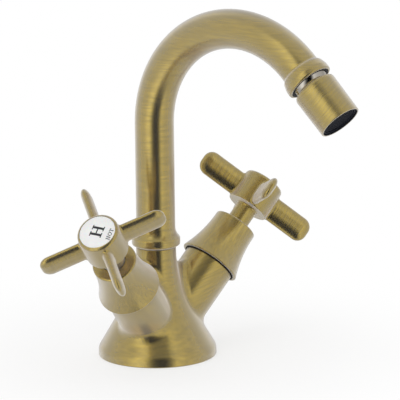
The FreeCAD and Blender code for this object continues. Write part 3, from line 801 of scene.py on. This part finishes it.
def makeFloor(spec):
    mesh = bpy.data.meshes.new("paleFloor")
    disc = bmesh.new()
    bmesh.ops.create_circle(disc, cap_ends=True, segments=spec["segments"], radius=spec["radius"])
    bmesh.ops.translate(disc, verts=disc.verts, vec=(0, 0, -spec["drop"]))
    disc.to_mesh(mesh)
    disc.free()
    material, tree = startMaterial("paleFloor")
    tree.nodes.clear()
    path = addNode(tree, "ShaderNodeLightPath").outputs
    fade = addLinked(
        tree, "ShaderNodeMapRange", {"Value": vectorMath(tree, "LENGTH", objectPlace(tree))},
        {"From Min": spec["fadeStart"], "From Max": spec["fadeEnd"], "To Min": spec["whiteNear"]},
        interpolation_type="SMOOTHERSTEP")
    faded = calculate(tree, "MULTIPLY", path["Is Camera Ray"], fade)
    white = addNode(tree, "ShaderNodeEmission").outputs[0]
    clear = addNode(tree, "ShaderNodeBsdfTransparent").outputs[0]
    surface = addLinked(tree, "ShaderNodeBsdfDiffuse", {}, {"Color": (*spec["tone"], 1)})
    for layer, share in ((white, faded), (clear, path["Is Glossy Ray"])):
        surface = addLinked(tree, "ShaderNodeMixShader", {0: share, 1: surface, 2: layer})
    linkTo(tree, surface, addNode(tree, "ShaderNodeOutputMaterial").inputs["Surface"])
    mesh.materials.append(material)
    floor = addObject("paleFloor", mesh)


makeFloor(floorSpec)

# studio walls as seen in the metal: brightness by angle round from the camera, positive to its right
studioSpec = {
    "walls": (
        (-180, 0.3), (-165, 0.4), (-145, 0.65), (-125, 0.44), (-100, 0.54), (-72, 0.6), (-60, 0.67),
        (-50, 0.86), (-40, 1.06), (-28, 1.03), (-18, 0.46), (-8, 0.06), (2, 0.0), (18, 0.0), (25, 0.13),
        (32, 0.52), (40, 0.84), (50, 0.72), (65, 0.6), (80, 0.56), (100, 0.52), (125, 0.42), (145, 0.65),
        (165, 0.4), (180, 0.3),
    ),
    "upperGap": 0.22,
    "upperStart": 24,
    "upperEnd": 44,
    "ceiling": 0.52,
    "ceilingStart": 50,
    "ceilingEnd": 60,
    "ground": 0.48,
    "groundStart": -37,
    "groundEnd": -57,
    "plainLevel": 0.85,
}


# the metal sees the room, the camera sees plain white, and dull surfaces get a plain even light
def makeStudio(spec):
    world = bpy.data.worlds.new("studio")
    bpy.context.scene.world = world
    world.use_nodes = True
    world.cycles.sampling_method = "NONE"
    tree = world.node_tree
    right, _, back = cameraAxes(cameraView)
    front = Vector((back.x, back.y, 0)).normalized()
    sky = addNode(tree, "ShaderNodeTexCoord").outputs["Generated"]
    parts = [vectorMath(tree, "DOT_PRODUCT", sky, way) for way in (right, front)]
    walls = addNode(tree, "ShaderNodeValToRGB")
    linkTo(tree, remap(tree, calculate(tree, "ARCTAN2", *parts), 0, 1, -math.pi, math.pi), walls.inputs[0])
    stops = walls.color_ramp.elements
    stops.remove(stops[1])
    for i, (degrees, level) in enumerate(spec["walls"]):
        position = (degrees + 180) / 360
        stop = stops[0] if i == 0 else stops.new(position)
        stop.position = position
        stop.color = (level, level, level, 1)
    height = splitVector(tree, sky)["Z"]

    def between(start, end, most=1):
        low, high = (math.sin(math.radians(spec[key])) for key in (start, end))
        return remap(tree, height, 0, most, low, high)

    upper = between("upperStart", "upperEnd", spec["upperGap"])
    filled = calculate(tree, "MAXIMUM", walls.outputs["Color"], upper)
    roofed = mixColours(tree, between("ceilingStart", "ceilingEnd"), filled, (spec["ceiling"],) * 3)
    room = mixColours(tree, between("groundStart", "groundEnd"), roofed, (spec["ground"],) * 3)
    path = addNode(tree, "ShaderNodeLightPath").outputs
    seen = mixColours(tree, path["Is Camera Ray"], room, (1.0, 1.0, 1.0))
    lit = mixColours(tree, path["Is Diffuse Ray"], seen, (spec["plainLevel"],) * 3)
    linkTo(tree, lit, tree.nodes["Background"].inputs["Color"])


makeStudio(studioSpec)

# one soft lamp for the shadow, high on the camera's left
lampSpec = {
    "place": (-0.75, 0.1, 1.3),
    "aim": (0, 0, 40 * mm),
    "size": 0.9,
    "power": 3.0,
}


def makeLamp(spec):
    data = bpy.data.lights.new("softLamp", "AREA")
    data.shape = "DISK"
    data.size = spec["size"]
    data.energy = spec["power"]
    lamp = addObject("softLamp", data)
    lamp.location = spec["place"]
    way = Vector(spec["aim"]) - Vector(spec["place"])
    lamp.rotation_euler = way.to_track_quat("-Z", "Y").to_euler()
    lamp.visible_glossy = False
    lamp.visible_camera = False


makeLamp(lampSpec)
bpy.context.scene.view_settings.view_transform = "Standard"
print("floor, studio and lamp placed")
